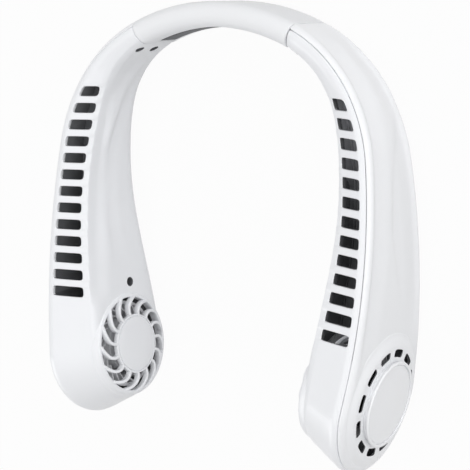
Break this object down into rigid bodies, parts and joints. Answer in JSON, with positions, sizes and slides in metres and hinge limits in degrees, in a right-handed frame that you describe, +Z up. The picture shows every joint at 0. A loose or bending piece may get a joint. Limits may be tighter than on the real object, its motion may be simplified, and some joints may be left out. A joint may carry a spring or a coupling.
{
  "type": "neck fan",
  "caption": "White wearable electric neck fan: two hollow arms with air slots and side fans, joined by a flexible bridge",
  "frame": {"origin": "centre of the bounding box, on the level that the two fan ends and the bridge rest on", "axes": "+X towards the right arm, +Y towards the bridge that goes behind the neck, +Z up, the way the air slots face"},
  "size_m": [0.18, 0.2028, 0.0674],
  "materials": {
    "white_shell": "satin-gloss moulded white ABS",
    "white_cover": "satin-gloss moulded white ABS",
    "medallion_plastic": "polished white ABS",
    "dark_plastic": "fine moulded dark grey",
    "grey_plastic": "moulded grey polypropylene",
    "rotor_steel": "deep-drawn, zinc plated",
    "magnet": "pressed ferrite",
    "shaft_steel": "ground",
    "stator_steel": "stacked laminations",
    "copper": "enamelled copper wire",
    "bush_brass": "sintered bronze",
    "screw_steel": "zinc-plated steel",
    "cell_wrap": "shrink-wrapped lithium cell",
    "board_laminate": "glass-epoxy with solder mask",
    "button_plastic": "polished white ABS",
    "light_pipe": "translucent acrylic",
    "socket_steel": "drawn, nickel plated",
    "silicone_sleeve": "matte white silicone",
    "spine_steel": "tempered spring strip",
    "wire_jacket": "black silicone jacket",
    "dark_rubber": "matte slate silicone"
  },
  "bodies": {
    "left_arm": {"inner_shell_left": "white_shell", "outer_cover_left": "white_cover", "medallion_left": "medallion_plastic", "air_duct_left": "dark_plastic", "stator_core_left": "stator_steel", "stator_windings_left": "copper", "motor_base_left": "dark_plastic", "shaft_bush_left": "bush_brass", "motor_screws_left": "screw_steel", "case_screws_left": "screw_steel", "battery_cell_left": "cell_wrap", "spine_anchor_left": "dark_plastic", "control_board": "board_laminate", "tact_switch": "dark_plastic", "status_lights": "light_pipe", "usb_socket": "socket_steel", "bridge_sleeve": "silicone_sleeve", "spine_strip": "spine_steel", "wiring_harness": "wire_jacket", "neck_pad": "dark_rubber"},
    "right_arm": {"inner_shell_right": "white_shell", "outer_cover_right": "white_cover", "medallion_right": "medallion_plastic", "air_duct_right": "dark_plastic", "stator_core_right": "stator_steel", "stator_windings_right": "copper", "motor_base_right": "dark_plastic", "shaft_bush_right": "bush_brass", "motor_screws_right": "screw_steel", "case_screws_right": "screw_steel", "battery_cell_right": "cell_wrap", "spine_anchor_right": "dark_plastic"},
    "left_impeller": {"impeller_left": "grey_plastic", "rotor_can_left": "rotor_steel", "rotor_magnet_left": "magnet", "motor_shaft_left": "shaft_steel"},
    "right_impeller": {"impeller_right": "grey_plastic", "rotor_can_right": "rotor_steel", "rotor_magnet_right": "magnet", "motor_shaft_right": "shaft_steel"},
    "button": {"power_button": "button_plastic"}
  },
  "joints": [
    {"name": "bridge_flex", "type": "hinge", "parent": "left_arm", "child": "right_arm", "pos_m": [0, 0.09497, 0.01884], "axis": [0, 0.091, 0.9959], "range_deg": [-5, 25], "stiffness_Nm_per_rad": 0.8, "deforming": ["bridge_sleeve", "spine_strip", "wiring_harness", "neck_pad"]},
    {"name": "right_fan_spin", "type": "hinge", "parent": "right_arm", "child": "right_impeller", "pos_m": [0.05655, -0.06477, 0.03343], "axis": [0.989, -0.1472, 0.0134], "continuous": true},
    {"name": "left_fan_spin", "type": "hinge", "parent": "left_arm", "child": "left_impeller", "pos_m": [-0.05655, -0.06477, 0.03343], "axis": [-0.989, -0.1472, 0.0134], "continuous": true},
    {"name": "button_press", "type": "slide", "parent": "left_arm", "child": "button", "axis": [0.9912, -0.1317, 0.012], "range_m": [0, 0.0005], "stiffness_N_per_m": 1500, "springref_m": -0.0006}
  ]
}
